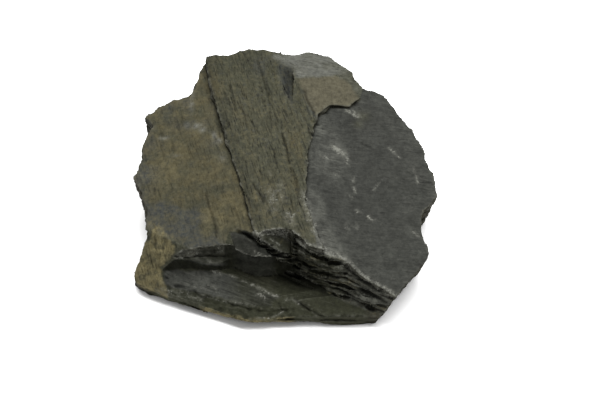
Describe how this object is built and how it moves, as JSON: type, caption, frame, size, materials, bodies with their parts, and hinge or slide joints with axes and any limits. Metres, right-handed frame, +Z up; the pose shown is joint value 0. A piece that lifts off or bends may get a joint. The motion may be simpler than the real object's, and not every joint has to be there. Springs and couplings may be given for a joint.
{
  "type": "oil shale",
  "caption": "Hand specimen of oil shale: a broken, thinly bedded dark slab with a raised bedding rib, a shell-shaped break and a stepped scarp.",
  "frame": {"origin": "middle of the slab's box, on the plane of the cleavage face it rests on", "axes": "+Z up, across the bedding; +Y towards the back, along the rib; +X to the right, towards the shell-shaped break"},
  "size_m": [0.0998, 0.107, 0.0257],
  "materials": {
    "shale": "matt, dark olive grey, with a weathered brown film on the old faces"
  },
  "bodies": {
    "root": {"oil_shale_slab": "shale"}
  },
  "joints": []
}
